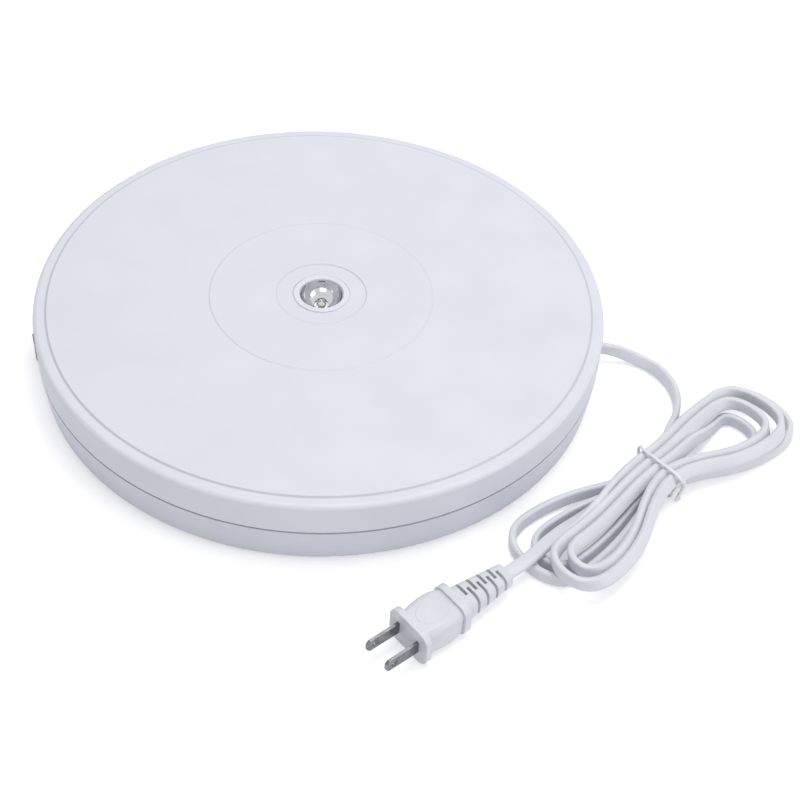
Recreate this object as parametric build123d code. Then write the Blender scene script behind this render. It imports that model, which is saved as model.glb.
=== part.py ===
from build123d import *
import math
import os

# A mains-powered display turntable: a low round base, a platter that turns on it, a lamp in the
# fixed centre post, and a flat two-core cord tied in a hank. Sizes are in millimetres, +Z is up,
# and the origin is on the floor below the centre. The cord leaves on +X and the switch is on -X.

# Outer casing
foot_drop = 1.2
shell_height = 35.9
outer_radius = 140.0
bottom_taper = 1.9
bottom_edge_round = 1.3
seam_height = 18.2
seam_gap = 1.0
wall = 2.6
floor_wall = 2.6
lip_wall = 1.8
lip_rise = 3.4
lip_clearance = 1.2
lip_root = 4.0

# Top of the platter
shoulder_land = 3.5
shoulder_radius = 2.5
disc_step = 0.5
disc_chamfer = 0.7
inner_disc_radius = 55.1
inner_disc_step = 0.3
recess_radius = 22.2
recess_depth = 0.4
top_wall = 2.6

# Centre post and bearing
journal_radius = 13.0
bearing_clearance = 0.05
bush_wall = 2.4
hub_wall = 3.0
shoulder_width = 4.5
shoulder_height = 19.7
washer_thickness = 0.8
running_gap = 0.2
bush_length = 11.6
post_flange_radius = 26.0
post_flange_thickness = 3.0
post_bore_radius = 10.4
wire_bore_radius = 8.0
wire_slot_width = 6.0
wire_slot_top = 13.0
snap_ring_thickness = 1.0
snap_ring_bite = 0.9
snap_ring_reach = 1.0
snap_ring_opening = 50.0
post_land = 1.0
cap_gap = 0.4

# Lamp
cup_rim_radius = 10.95
cup_rim_wall = 0.5
cup_throat_radius = 4.3
cup_wall = 0.8
cup_height = 8.8
cup_fit = 0.05
bezel_width = 2.85
bezel_lip = 1.1
bezel_rise = 0.5
bezel_round = 0.45
lamp_radius = 3.7
lamp_flange_radius = 4.1
lamp_flange_height = 0.8
lamp_height = 6.2
lead_radius = 0.3
lead_pitch = 2.54
lead_stub = 1.5
board_thickness = 1.6
lamp_board_drop = 9.5
board_clearance = 0.2

# Gear drive
module = 1.5
ring_teeth = 80
pinion_teeth = 16
pressure_angle = math.radians(20)
tooth_backlash = 0.5
gear_face = 5.0
ring_rim = 3.0
ring_flange_width = 8.5
ring_flange_thickness = 2.0
gear_screw_count = 6
gear_screw_first_angle = 30.0
gear_screw_radius = 1.3
gear_screw_head_radius = 2.5
gear_screw_length = 7.0
gear_boss_radius = 3.6
motor_angle = 90.0
motor_radius = 24.5
motor_height = 16.2
motor_edge_round = 1.5
motor_plate_thickness = 1.2
motor_shaft_offset = 12.0
motor_ear_spacing = 61.0
motor_ear_radius = 5.0
motor_floor_gap = 0.8
shaft_radius = 3.5
shaft_flat = 2.6
shaft_depth = 2.5
nose_radius = 6.0
nose_height = 2.2
clip_thickness = 0.7
clip_reach = 1.6
clip_bite = 0.4
pinion_gap = 0.4

# Rollers
roller_count = 4
roller_first_angle = 45.0
roller_track_radius = 112.0
roller_radius = 8.0
roller_width = 6.0
roller_round = 0.8
roller_dish = 0.6
roller_hub_wall = 1.6
roller_rim_wall = 2.0
roller_side_gap = 0.4
axle_radius = 1.5
cheek_thickness = 2.6
cheek_width = 9.0
cheek_cover = 2.8
pedestal_gap = 1.4
track_width = 12.0
track_depth = 1.6
track_gap = 0.15

# Ribs
platter_rib_count = 12
platter_rib_depth = 2.2
rib_thickness = 1.6
floor_rib_height = 2.4
floor_rib_angles = (20.0, 160.0, 250.0, 290.0)

# Feet and screws
foot_count = 4
foot_first_angle = 22.5
foot_inset = 22.0
foot_radius = 7.0
foot_thickness = 2.2
foot_pocket_clearance = 0.2
foot_chamfer = 0.5
screw_radius = 1.5
screw_head_radius = 2.8
screw_head_height = 1.8
screw_length = 8.0
hole_clearance = 0.2
thread_clearance = 0.02
head_clearance = 0.4
post_screw_count = 3
post_screw_first_angle = 30.0
post_screw_circle = 21.5
post_screw_head_height = 1.2
post_screw_sink = 1.4
post_boss_radius = 4.0
post_boss_height = 11.2

# Switch in the side wall
switch_angle = 184.5
switch_height = 9.4
switch_inset = 1.7
switch_fit = 0.2
switch_frame_length = 15.6
switch_frame_height = 10.8
switch_frame_thickness = 2.8
switch_frame_round = 1.2
switch_body_length = 13.4
switch_body_height = 9.2
switch_body_depth = 12.0
rocker_pivot_rise = 1.0
rocker_corner_radius = 5.4
rocker_front = 3.2
rocker_valley = 1.4
rocker_back = 2.8
rocker_back_inset = 0.8
rocker_round = 0.5
rocker_height = 6.0
rocker_tilt = 14.0
rocker_clearance = 0.25
rocker_pin_radius = 1.0
rocker_pin_length = 0.9
terminal_width = 4.8
terminal_thickness = 0.8
terminal_length = 8.0
terminal_pitch = 7.0

# Lamp supply board on the base floor
supply_x = -38.0
supply_y = -76.0
supply_length = 46.0
supply_width = 28.0
supply_post_height = 4.0
supply_post_radius = 3.0
supply_screw_inset = 3.5
supply_screw_radius = 1.0
supply_screw_head_radius = 1.9
supply_screw_head_height = 1.3
supply_screw_length = 5.0
film_capacitor_size = (18.0, 8.0, 12.0)
smoothing_radius = 5.0
smoothing_height = 11.0
smoothing_groove = 0.4
bridge_size = (8.0, 6.4, 3.2)
resistor_radius = 1.8
resistor_length = 9.0

# Wires inside the base
wire_radius = 0.8
wire_pitch = 2.2
wire_low_level = 7.2
motor_wire_angle = -35.0
wire_bend = 6.0

# Cord
cord_width = 6.6
cord_thickness = 3.3
cord_exit_y = -5.0
cord_exit_height = 8.6
cord_floor_gap = 0.2
cord_bend_share = 0.45
cord_inner_length = 42.0
lead_straight = 7.0
lead_bend = ((20.5, -6.5), (32.0, -15.5), (38.2, -30.0), (36.5, -47.0))
grommet_wall = 1.2
grommet_reach = 0.6
grommet_lip = 1.2
grommet_lip_rise = 0.2
clamp_inset = 18.0
clamp_width = 6.0
clamp_thickness = 3.0
clamp_post_gap = 3.8
clamp_post_radius = 3.2

# Hank, in its own axes: u along the hank and v across it, from the place of the tie
hank_beside = 19.0
hank_y = -92.0
hank_turn = 41.0
hank_waist_half = 11.0
hank_waist_pitch = 4.5
hank_layer_pitch = 7.3
hank_lift = 2.1
hank_lower_passes = 4
hank_ramp = (0.32, 0.66)
hank_near_reach = (82.5, 75.5, 71.0, 79.0)
hank_near_knee = (46.0, 44.0, 45.0, 45.0)
hank_near_half_width = (19.5, 11.5, 8.7, 13.7)
hank_near_lean = (4.0, 2.0, -14.0, -14.0)
hank_far_reach = (83.5, 60.0, 66.5, 75.0)
hank_far_knee = (46.0, 34.0, 40.0, 40.0)
hank_far_half_width = (20.0, 8.7, 13.8, 18.6)
hank_far_lean = (-4.0, -4.0, -4.0, -4.0)
hank_entry = (28.0, 17.5)
hank_exit = (-44.0, 4.2)

# Twist tie
tie_radius = 0.75
tie_clearance = 0.5
tie_pair_gap = 0.4
tie_neck = 7.0
tie_end_spread = 4.0

# Plug
plug_before_hank = 120.3
plug_y = -187.0
plug_turn = 37.7
plug_height = 18.5
plug_flange_width = 24.5
plug_flange_thickness = 3.0
plug_flange_round = 5.5
plug_grip_sections = ((0.0, 18.6, 14.2), (7.5, 20.6, 15.8), (14.0, 20.8, 16.0), (20.0, 18.2, 14.4))
plug_grip_round = 3.6
plug_rear_width = 21.0
plug_rear_height = 17.4
plug_rear_thickness = 3.4
plug_rear_round = 5.0
relief_length = 28.5
relief_start = (15.5, 13.5, 4.5)
relief_end = (10.8, 8.6, 3.2)
relief_slots = 8
relief_slot_width = 1.5
relief_slot_pitch = 2.8
relief_slot_first = 4.6
relief_slot_overlap = 1.6
relief_core = (7.6, 4.6)
blade_pitch = 12.7
blade_height = 6.35
blade_thickness = 1.5
blade_length = 17.2
blade_chamfer = 1.5
blade_hole_radius = 1.6
blade_hole_inset = 4.2
blade_seat = 6.0

# Levels and radii worked out from the sizes above
shell_bottom = foot_drop
floor_top = shell_bottom + floor_wall
base_top = shell_bottom + seam_height
skirt_bottom = base_top + seam_gap
disc_top = shell_bottom + shell_height
shoulder_top = disc_top - disc_step
inner_disc_top = disc_top + inner_disc_step
recess_floor = inner_disc_top - recess_depth
top_underside = disc_top - top_wall
disc_radius = outer_radius - shoulder_radius - shoulder_land - disc_chamfer
skirt_inner = outer_radius - wall
lip_outer = skirt_inner - lip_clearance
lip_inner = lip_outer - lip_wall
bush_outer = journal_radius + bearing_clearance + bush_wall
hub_outer = bush_outer + hub_wall
washer_top = shoulder_height + washer_thickness
hub_bottom = washer_top + running_gap
bush_top = hub_bottom + bush_length
post_outer = journal_radius + shoulder_width
snap_ring_bottom = bush_top + running_gap
snap_ring_top = snap_ring_bottom + snap_ring_thickness
snap_ring_inner = journal_radius - snap_ring_bite
post_top = snap_ring_top + post_land
bezel_radius = cup_rim_radius + bezel_width
centre_hole = bezel_radius + cap_gap
bezel_top = recess_floor + bezel_rise
cup_top = bezel_top - bezel_lip
cup_bottom = cup_top - cup_height
cup_rim_outer = cup_rim_radius + cup_rim_wall - cup_fit
lamp_base = cup_bottom - lamp_flange_height
board_seat = post_top - lamp_board_drop
board_top = board_seat + board_thickness
ring_pitch_radius = module * ring_teeth / 2
pinion_pitch_radius = module * pinion_teeth / 2
pinion_offset = ring_pitch_radius - pinion_pitch_radius
ring_root_radius = ring_pitch_radius + 1.25 * module
ring_tip_radius = ring_pitch_radius - module
ring_outer = ring_root_radius + ring_rim
ring_flange_outer = ring_outer + ring_flange_width
gear_screw_circle = ring_outer + ring_flange_width / 2
motor_bottom = floor_top + motor_floor_gap
motor_plate_bottom = motor_bottom + motor_height
motor_top = motor_plate_bottom + motor_plate_thickness
pinion_bottom = motor_top + nose_height + pinion_gap
pinion_top = pinion_bottom + gear_face
ring_bottom = pinion_bottom - pinion_gap / 2
ring_top = pinion_top + pinion_gap / 2
ring_flange_bottom = ring_top - ring_flange_thickness
motor_offset = pinion_offset + motor_shaft_offset
track_bottom = top_underside - track_depth
roller_axis = track_bottom - track_gap - roller_radius
roller_gap = roller_width + 2 * roller_side_gap
axle_length = roller_gap + 2 * cheek_thickness
supply_seat = floor_top + supply_post_height
supply_top = supply_seat + board_thickness
wire_level = supply_top + wire_radius
clamp_seat = cord_exit_height + cord_width / 2
cord_floor_height = cord_width / 2 + cord_floor_gap
clamp_x = outer_radius - clamp_inset
switch_seat = outer_radius - switch_inset
foot_circle_radius = outer_radius - foot_inset
hank_x = outer_radius + hank_beside
plug_x = hank_x - plug_before_hank
wall_lean = bottom_taper / seam_height
cord_exit_wall = outer_radius - wall_lean * (base_top - cord_exit_height)
cord_exit_x = cord_exit_wall + grommet_reach
plug_axis = plug_height / 2
relief_begin = plug_flange_thickness + plug_grip_sections[-1][0] + plug_rear_thickness
plug_length = relief_begin + relief_length

lowest = (Align.CENTER, Align.CENTER, Align.MIN)


# Shared shapes

def disc(radius, low, high, x=0.0, y=0.0):
    return Pos(x, y, low) * Cylinder(radius, high - low, align=lowest)


def tube(outer, inner, low, high, x=0.0, y=0.0):
    return disc(outer, low, high, x, y) - disc(inner, low - 1, high + 1, x, y)


def block(length, width, low, high, x=0.0, y=0.0):
    return Pos(x, y, low) * Box(length, width, high - low, align=lowest)


def turned(outline):
    return revolve(Plane.XZ * make_face(outline), axis=Axis.Z)


def around(radius, angle):
    turn = math.radians(angle)
    return radius * math.cos(turn), radius * math.sin(turn)


def spokes(count, first=0.0):
    return [first + 360.0 * i / count for i in range(count)]


def group(solids):
    return Compound([shape.solid() for shape in solids])


def upright_slot(length, thickness, start, end, y, height):
    """A bar along X whose slot section stands on edge."""
    plane = Plane(origin=(start, y, height), x_dir=(0, 0, 1), z_dir=(1, 0, 0))
    return extrude(plane * SlotOverall(length, thickness), end - start)


def screw(x, y, seat, radius, length, head_radius, head_height, up=True):
    """A pan-head screw on a seat: its head points up or down, its shank the other way."""
    way = 1 if up else -1
    low, high = sorted((seat, seat + way * head_height))
    body = disc(head_radius, low, high, x, y)
    rim = body.faces().sort_by(Axis.Z)[-1 if up else 0].edges()
    body = fillet(rim, head_height * 0.35)
    low, high = sorted((seat - way * length, seat + way * head_height / 4))
    body += disc(radius, low, high, x, y)
    depth = head_height / 2
    cross = Box(head_radius * 1.1, head_radius / 4, depth) + Box(head_radius / 4, head_radius * 1.1, depth)
    return body - Pos(x, y, seat + way * (head_height - depth / 2)) * cross


# Places shared by pieces that fit together

def motor_ears():
    x, y = around(motor_offset, motor_angle)
    across = [around(side * motor_ear_spacing / 2, motor_angle + 90) for side in (-1, 1)]
    return [(x + dx, y + dy) for dx, dy in across]


def supply_holes():
    dx = supply_length / 2 - supply_screw_inset
    dy = supply_width / 2 - supply_screw_inset
    return [(supply_x + sx * dx, supply_y + sy * dy) for sx in (-1, 1) for sy in (-1, 1)]


def clamp_holes():
    reach = cord_thickness / 2 + clamp_post_gap
    return [(clamp_x, cord_exit_y + side * reach) for side in (-1, 1)]


def post_screw_places():
    return [around(post_screw_circle, a) for a in spokes(post_screw_count, post_screw_first_angle)]


def gear_screw_places():
    return [around(gear_screw_circle, a) for a in spokes(gear_screw_count, gear_screw_first_angle)]


def switch_place():
    x, y = around(switch_seat, switch_angle)
    return Pos(x, y, shell_bottom + switch_height) * Rot(0, 0, switch_angle)


def pinion_place():
    x, y = around(pinion_offset, motor_angle)
    return Pos(x, y, 0)


def motor_place():
    x, y = around(motor_offset, motor_angle)
    return Pos(x, y, 0)


def roller_place(angle):
    x, y = around(roller_track_radius, angle)
    return Pos(x, y, roller_axis) * Rot(0, 0, angle) * Rot(0, 90, 0)


# Base

def base_outline():
    bottom_radius = outer_radius - bottom_taper
    root_height = base_top - lip_root
    shelf_height = root_height - lip_wall
    shelf_radius = outer_radius - wall - wall_lean * (base_top - shelf_height)
    return Polyline(
        (0, shell_bottom),
        (bottom_radius, shell_bottom),
        (outer_radius, base_top),
        (lip_outer, base_top),
        (lip_outer, base_top + lip_rise),
        (lip_inner, base_top + lip_rise),
        (lip_inner, root_height),
        (shelf_radius, shelf_height),
        (bottom_radius - wall, floor_top),
        (0, floor_top),
        close=True,
    )


def roller_pedestal(angle):
    """A block with a fork on top that holds the roller's pin in its two cheeks."""
    top = roller_axis + cheek_cover
    body = block(axle_length, cheek_width, floor_top - 1, top)
    body -= block(roller_gap, cheek_width + 2, roller_axis - roller_radius - pedestal_gap, top + 1)
    bore = Cylinder(axle_radius + thread_clearance, axle_length + 2)
    body -= Pos(0, 0, roller_axis) * Rot(0, 90, 0) * bore
    x, y = around(roller_track_radius, angle)
    return Pos(x, y, 0) * Rot(0, 0, angle) * body


def floor_rib(angle):
    inner = post_flange_radius + 6
    outer = outer_radius - bottom_taper - wall + 1
    rib = block(outer - inner, rib_thickness, floor_top - 1, floor_top + floor_rib_height)
    return Rot(0, 0, angle) * Pos((inner + outer) / 2, 0, 0) * rib


def switch_window():
    length = switch_frame_length + switch_fit
    height = switch_frame_height + switch_fit
    flat = Pos(5, 0, 0) * Box(10, length, height)
    window = Box(40, switch_body_length + switch_fit, switch_body_height + switch_fit)
    return switch_place() * (flat + window)


def cord_hole():
    length = cord_width + 2 * grommet_wall + hole_clearance
    thickness = cord_thickness + 2 * grommet_wall + hole_clearance
    start = cord_exit_wall - 4 * wall
    return upright_slot(length, thickness, start, outer_radius + 5, cord_exit_y, cord_exit_height)


def base_shell():
    shell = turned(base_outline())
    bottom_edges = shell.edges().filter_by(GeomType.CIRCLE).group_by(Axis.Z)[0]
    shell = fillet(bottom_edges.sort_by(SortBy.RADIUS)[-1], bottom_edge_round)
    for angle in spokes(roller_count, roller_first_angle):
        shell += roller_pedestal(angle)
    for angle in floor_rib_angles:
        shell += floor_rib(angle)
    for x, y in motor_ears():
        shell += disc(motor_ear_radius, floor_top - 1, motor_plate_bottom, x, y)
        shell -= disc(screw_radius + thread_clearance, motor_top - screw_length, motor_top, x, y)
    for x, y in supply_holes():
        shell += disc(supply_post_radius, floor_top - 1, supply_seat, x, y)
        shell -= disc(supply_screw_radius + thread_clearance, supply_top - supply_screw_length, supply_top, x, y)
    for x, y in clamp_holes():
        shell += disc(clamp_post_radius, floor_top - 1, clamp_seat, x, y)
        low = clamp_seat + clamp_thickness - screw_length
        shell -= disc(screw_radius + thread_clearance, low, clamp_seat + 1, x, y)
    saddle_top = cord_exit_height - cord_width / 2
    shell += block(clamp_width, 2 * cord_thickness, floor_top - 1, saddle_top, clamp_x, cord_exit_y)
    for angle in spokes(foot_count, foot_first_angle):
        x, y = around(foot_circle_radius, angle)
        shell -= disc(foot_radius + foot_pocket_clearance, 0, foot_thickness, x, y)
    for x, y in post_screw_places():
        shell -= disc(screw_radius + hole_clearance, 0, floor_top + 1, x, y)
        shell -= disc(screw_head_radius + head_clearance, 0, shell_bottom + post_screw_sink, x, y)
    return shell - switch_window() - cord_hole()


def rubber_foot(angle):
    x, y = around(foot_circle_radius, angle)
    foot = disc(foot_radius, 0, foot_thickness, x, y)
    return chamfer(foot.edges().group_by(Axis.Z)[0], foot_chamfer)


# Platter

def platter_outline():
    shoulder_inner = outer_radius - shoulder_radius
    shoulder_low = shoulder_top - shoulder_radius
    lean = shoulder_radius * math.sqrt(0.5)
    corner = (shoulder_inner + lean, shoulder_low + lean)
    path = Polyline(
        (centre_hole, recess_floor),
        (recess_radius - recess_depth / 2, recess_floor),
        (recess_radius + recess_depth / 2, inner_disc_top),
        (inner_disc_radius - inner_disc_step, inner_disc_top),
        (inner_disc_radius + inner_disc_step, disc_top),
        (disc_radius, disc_top),
        (disc_radius + disc_chamfer, shoulder_top),
        (shoulder_inner, shoulder_top),
    )
    path += ThreePointArc((shoulder_inner, shoulder_top), corner, (outer_radius, shoulder_low))
    path += Polyline(
        (outer_radius, shoulder_low),
        (outer_radius, skirt_bottom),
        (skirt_inner, skirt_bottom),
        (skirt_inner, top_underside),
        (hub_outer, top_underside),
        (hub_outer, hub_bottom),
        (bush_outer + thread_clearance, hub_bottom),
        (bush_outer + thread_clearance, bush_top),
        (centre_hole, bush_top),
        (centre_hole, recess_floor),
    )
    return path


def platter_rib(angle, inner, outer):
    rib = block(outer - inner, rib_thickness, top_underside - platter_rib_depth, top_underside + 1)
    return Rot(0, 0, angle) * Pos((inner + outer) / 2, 0, 0) * rib


def platter():
    body = turned(platter_outline())
    track_inner = roller_track_radius - track_width / 2
    track_outer = roller_track_radius + track_width / 2
    body += tube(track_outer, track_inner, track_bottom, top_underside + 1)
    for angle in spokes(platter_rib_count):
        body += platter_rib(angle, ring_flange_outer + 1, track_inner + 1)
        body += platter_rib(angle, track_outer - 1, skirt_inner + 1)
    for x, y in gear_screw_places():
        body += disc(gear_boss_radius, ring_top, top_underside + 1, x, y)
        tip = ring_flange_bottom + gear_screw_length
        body -= disc(gear_screw_radius + thread_clearance, ring_top - 1, tip, x, y)
    return body


def hub_bush():
    return tube(bush_outer, journal_radius + bearing_clearance, hub_bottom, bush_top)


# Gears

def involute(angle):
    return math.tan(angle) - angle


def half_tooth_angle(radius, pitch_radius, width):
    base = pitch_radius * math.cos(pressure_angle)
    slope = math.acos(min(1.0, base / radius))
    return width / (2 * pitch_radius) + involute(pressure_angle) - involute(slope)


def toothed_face(teeth, root, tip, width, first_angle):
    """A toothed wheel's face: each flank follows the involute through five points."""
    pitch_radius = module * teeth / 2
    start = max(root, pitch_radius * math.cos(pressure_angle))
    radii = [start + (tip - start) * i / 4 for i in range(5)]
    flank = [(r, half_tooth_angle(r, pitch_radius, width)) for r in radii]
    if start > root:
        flank.insert(0, (root, flank[0][1]))
    outline = []
    for tooth in range(teeth):
        centre = math.radians(first_angle) + 2 * math.pi * tooth / teeth
        for r, half in flank:
            outline.append((r * math.cos(centre - half), r * math.sin(centre - half)))
        for r, half in reversed(flank):
            outline.append((r * math.cos(centre + half), r * math.sin(centre + half)))
    return make_face(Polyline(*outline, close=True))


def ring_gear():
    width = (math.pi * module + tooth_backlash) / 2
    opening = toothed_face(ring_teeth, ring_tip_radius, ring_root_radius, width, motor_angle)
    body = disc(ring_outer, ring_bottom, ring_top)
    body += disc(ring_flange_outer, ring_flange_bottom, ring_top)
    body -= Pos(0, 0, ring_bottom - 1) * extrude(opening, ring_top - ring_bottom + 2)
    for x, y in gear_screw_places():
        body -= disc(gear_screw_radius + hole_clearance, ring_bottom, ring_top + 1, x, y)
    return body


def shaft_face(clearance=0.0):
    """The shaft's D-shaped section, with its flat on +X."""
    side = shaft_radius + clearance
    flat = Pos(shaft_flat + clearance + side, 0) * Rectangle(2 * side, 4 * side)
    return Circle(side) - flat


def drive_pinion():
    width = (math.pi * module - tooth_backlash) / 2
    root = pinion_pitch_radius - 1.25 * module
    tip = pinion_pitch_radius + module
    section = toothed_face(pinion_teeth, root, tip, width, motor_angle) - shaft_face(thread_clearance)
    return pinion_place() * Pos(0, 0, pinion_bottom) * extrude(section, gear_face)


def motor_shaft():
    low = motor_plate_bottom - shaft_depth
    top = pinion_top + 2 * clip_thickness
    shaft = disc(shaft_radius, low, pinion_bottom)
    shaft += Pos(0, 0, pinion_bottom) * extrude(shaft_face(), top - pinion_bottom)
    shaft -= tube(shaft_radius + 1, shaft_flat - clip_bite, pinion_top, pinion_top + clip_thickness)
    return pinion_place() * shaft


def pinion_clip():
    outer = shaft_radius + clip_reach
    inner = shaft_flat - clip_bite + thread_clearance
    ring = tube(outer, inner, pinion_top, pinion_top + clip_thickness)
    mouth = block(outer, inner * 1.4, pinion_top - 1, pinion_top + clip_thickness + 1, outer / 2 + 1, 0)
    return pinion_place() * (ring - mouth)


# Motor

def shaft_pocket(low, high):
    return pinion_place() * disc(shaft_radius + bearing_clearance, low, high)


def motor_can():
    can = disc(motor_radius, motor_bottom, motor_plate_bottom)
    can = fillet(can.edges().group_by(Axis.Z)[0], motor_edge_round)
    pocket_bottom = motor_plate_bottom - shaft_depth - running_gap
    return motor_place() * can - shaft_pocket(pocket_bottom, motor_top)


def motor_cover():
    plate = disc(motor_radius, motor_plate_bottom, motor_top)
    plate += block(motor_ear_spacing, 2 * motor_ear_radius, motor_plate_bottom, motor_top)
    for side in (-1, 1):
        plate += disc(motor_ear_radius, motor_plate_bottom, motor_top, side * motor_ear_spacing / 2)
    plate = motor_place() * Rot(0, 0, motor_angle + 90) * plate
    plate += pinion_place() * disc(nose_radius, motor_plate_bottom, motor_top + nose_height)
    for x, y in motor_ears():
        plate -= disc(screw_radius + hole_clearance, motor_plate_bottom - 1, motor_top + 1, x, y)
    return plate - shaft_pocket(motor_plate_bottom - 1, motor_top + nose_height + 1)


# Rollers

def support_roller(angle):
    wheel = Cylinder(roller_radius, roller_width)
    wheel = fillet(wheel.edges().filter_by(GeomType.CIRCLE), roller_round)
    wheel -= Cylinder(axle_radius + bearing_clearance, roller_width + 2)
    dish = Cylinder(roller_radius - roller_rim_wall, 2 * roller_dish)
    dish -= Cylinder(axle_radius + roller_hub_wall, 2 * roller_dish)
    for side in (-1, 1):
        wheel -= Pos(0, 0, side * roller_width / 2) * dish
    return roller_place(angle) * wheel


def roller_axle(angle):
    return roller_place(angle) * Cylinder(axle_radius, axle_length)


# Centre post, its bearing and the lamp

def centre_post():
    post = disc(post_flange_radius, floor_top, floor_top + post_flange_thickness)
    post += disc(post_outer, floor_top, shoulder_height)
    post += disc(journal_radius, floor_top, post_top)
    for x, y in post_screw_places():
        post += disc(post_boss_radius, floor_top, post_boss_height, x, y)
    post -= disc(wire_bore_radius, floor_top - 1, post_top + 1)
    post -= disc(post_bore_radius, board_seat, post_top + 1)
    post -= tube(journal_radius + 1, snap_ring_inner, snap_ring_bottom, snap_ring_top)
    post -= block(2 * post_flange_radius, wire_slot_width, floor_top - 1, wire_slot_top, -post_flange_radius, 0)
    for x, y in post_screw_places():
        tip = shell_bottom + post_screw_sink + screw_length
        post -= disc(screw_radius + thread_clearance, floor_top - 1, tip, x, y)
    return post


def thrust_washer():
    return tube(post_outer, journal_radius + bearing_clearance, shoulder_height, washer_top)


def snap_ring():
    ring = tube(journal_radius + snap_ring_reach, snap_ring_inner, snap_ring_bottom, snap_ring_top)
    opening = 2 * snap_ring_inner * math.sin(math.radians(snap_ring_opening / 2))
    reach = 2 * journal_radius
    return ring - block(reach, opening, snap_ring_bottom - 1, snap_ring_top + 1, reach / 2, 0)


def led_board():
    board = disc(post_bore_radius - board_clearance, board_seat, board_top)
    for side in (-1, 1):
        board -= disc(lead_radius + thread_clearance, board_seat - 1, board_top + 1, side * lead_pitch / 2)
    return board


def led_lamp():
    dome = lamp_base + lamp_height - lamp_radius
    lens = disc(lamp_radius, lamp_base, dome) + Pos(0, 0, dome) * Sphere(lamp_radius)
    lens -= disc(lamp_radius + 1, lamp_base - lamp_radius, lamp_base)
    return lens + disc(lamp_flange_radius, lamp_base, cup_bottom)


def led_leads():
    low = board_seat - lead_stub
    return group([disc(lead_radius, low, lamp_base, side * lead_pitch / 2) for side in (-1, 1)])


def reflector_cup():
    """A polished bowl that hangs by its rim from the top of the post."""
    rim = cup_rim_radius - cup_rim_wall
    span = rim - cup_throat_radius
    middle = (cup_throat_radius + 0.66 * span, cup_bottom + 0.42 * cup_height)
    seat = post_bore_radius - cup_fit
    outer_middle = (middle[0] + cup_wall, middle[1] - cup_wall / 4)
    foot = cup_throat_radius + cup_wall
    path = ThreePointArc((cup_throat_radius, cup_bottom), middle, (rim, cup_top))
    path += Polyline((rim, cup_top), (cup_rim_outer, cup_top), (cup_rim_outer, post_top), (seat, post_top))
    path += ThreePointArc((seat, post_top), outer_middle, (foot, cup_bottom))
    path += Line((foot, cup_bottom), (cup_throat_radius, cup_bottom))
    return turned(path)


def light_bezel():
    skirt = cup_rim_outer + cup_fit
    ring = turned(
        Polyline(
            (skirt, post_top),
            (bezel_radius, post_top),
            (bezel_radius, bezel_top),
            (cup_rim_radius, bezel_top),
            (cup_rim_radius, cup_top),
            (skirt, cup_top),
            close=True,
        )
    )
    return fillet(ring.edges().group_by(Axis.Z)[-1], bezel_round)


# Supply board and its parts

def power_board():
    board = block(supply_length, supply_width, supply_seat, supply_top, supply_x, supply_y)
    for x, y in supply_holes():
        board -= disc(supply_screw_radius + hole_clearance, supply_seat - 1, supply_top + 1, x, y)
    return board


def on_board(dx, dy):
    return Pos(supply_x + dx, supply_y + dy, supply_top)


def film_capacitor():
    body = Box(*film_capacitor_size, align=lowest)
    return on_board(-6.0, -3.0) * fillet(body.edges().filter_by(Axis.Z), 1.0)


def smoothing_capacitor():
    can = Cylinder(smoothing_radius, smoothing_height, align=lowest)
    can = fillet(can.edges().group_by(Axis.Z)[-1], 0.8)
    groove = tube(smoothing_radius + 1, smoothing_radius - smoothing_groove, 1.6, 2.4)
    return on_board(13.0, -6.0) * (can - groove)


def bridge_rectifier():
    body = Box(*bridge_size, align=lowest)
    return on_board(0.0, 7.5) * chamfer(body.edges().group_by(Axis.Z)[-1], 0.4)


def bleed_resistor():
    body = fillet(Cylinder(resistor_radius, resistor_length).edges(), 0.5)
    return on_board(12.0, 5.0) * Pos(0, 0, resistor_radius) * Rot(0, 90, 0) * body


# Switch

def switch_housing():
    frame = Box(switch_frame_thickness, switch_frame_length, switch_frame_height)
    frame = Pos(switch_frame_thickness / 2, 0, 0) * fillet(frame.edges().filter_by(Axis.X), switch_frame_round)
    body = Pos(-switch_body_depth / 2, 0, 0) * Box(switch_body_depth, switch_body_length, switch_body_height)
    inside = 2 * (rocker_corner_radius + rocker_clearance)
    cavity = Box(inside, inside, rocker_height + 2 * rocker_clearance)
    pin_room = rocker_height + 2 * (rocker_pin_length + thread_clearance)
    cavity += Cylinder(rocker_pin_radius + bearing_clearance, pin_room)
    return switch_place() * (frame + body - Pos(rocker_pivot_rise, 0, 0) * cavity)


def switch_rocker():
    """The rocker as it rests when switched off, with its far end raised."""
    half = math.sqrt(rocker_corner_radius ** 2 - rocker_front ** 2)
    outline = Polyline(
        (rocker_front, half),
        (rocker_valley, 0),
        (rocker_front, -half),
        (-rocker_back, -half + rocker_back_inset),
        (-rocker_back, half - rocker_back_inset),
        close=True,
    )
    body = Pos(0, 0, -rocker_height / 2) * extrude(make_face(outline), rocker_height)
    body = fillet(body.edges().filter_by(Axis.Z).sort_by(Axis.X)[-2:], rocker_round)
    body += Cylinder(rocker_pin_radius, rocker_height + 2 * rocker_pin_length)
    return switch_place() * Pos(rocker_pivot_rise, 0, 0) * Rot(0, 0, rocker_tilt) * body


def switch_terminals():
    tab = Box(terminal_length, terminal_thickness, terminal_width)
    depth = switch_body_depth + terminal_length / 2
    places = [switch_place() * Pos(-depth, side * terminal_pitch / 2, 0) for side in (-1, 1)]
    return group([place * tab for place in places])


# Wires inside the base

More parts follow.
